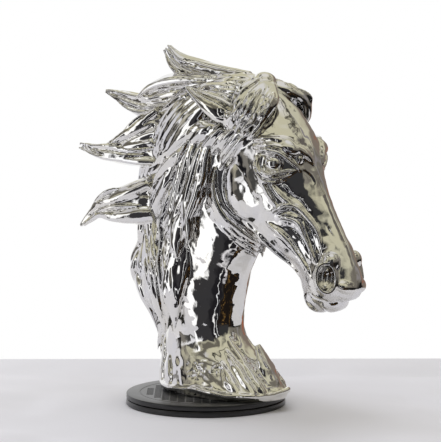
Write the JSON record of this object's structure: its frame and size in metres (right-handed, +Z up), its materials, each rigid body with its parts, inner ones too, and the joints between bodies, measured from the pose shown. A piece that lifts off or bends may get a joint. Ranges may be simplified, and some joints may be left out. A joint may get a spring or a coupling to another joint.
{
  "type": "horse head sculpture",
  "caption": "Cast horse head with a wind-blown mane on a spreading foot, chrome plated, standing on a round black turntable of two stacked discs.",
  "frame": {"origin": "centre of the lower disc's underside, on the turntable's axis", "axes": "+X the way the horse faces, +Y its left side, +Z up along the turntable's axis"},
  "size_m": [0.5176, 0.25, 0.5625],
  "materials": {
    "chrome_plate": "bright chrome plate over a cast surface, near mirror",
    "black_plastic": "satin moulded plastic with a rubbed grip pattern on top"
  },
  "bodies": {
    "stand": {"stand_lower_disc": "black_plastic"},
    "turntable": {"stand_upper_disc": "black_plastic", "horse_head": "chrome_plate"}
  },
  "joints": [
    {"name": "turntable_spin", "type": "hinge", "parent": "stand", "child": "turntable", "pos_m": [0, 0, 0.0102], "axis": [0, 0, 1], "continuous": true}
  ]
}
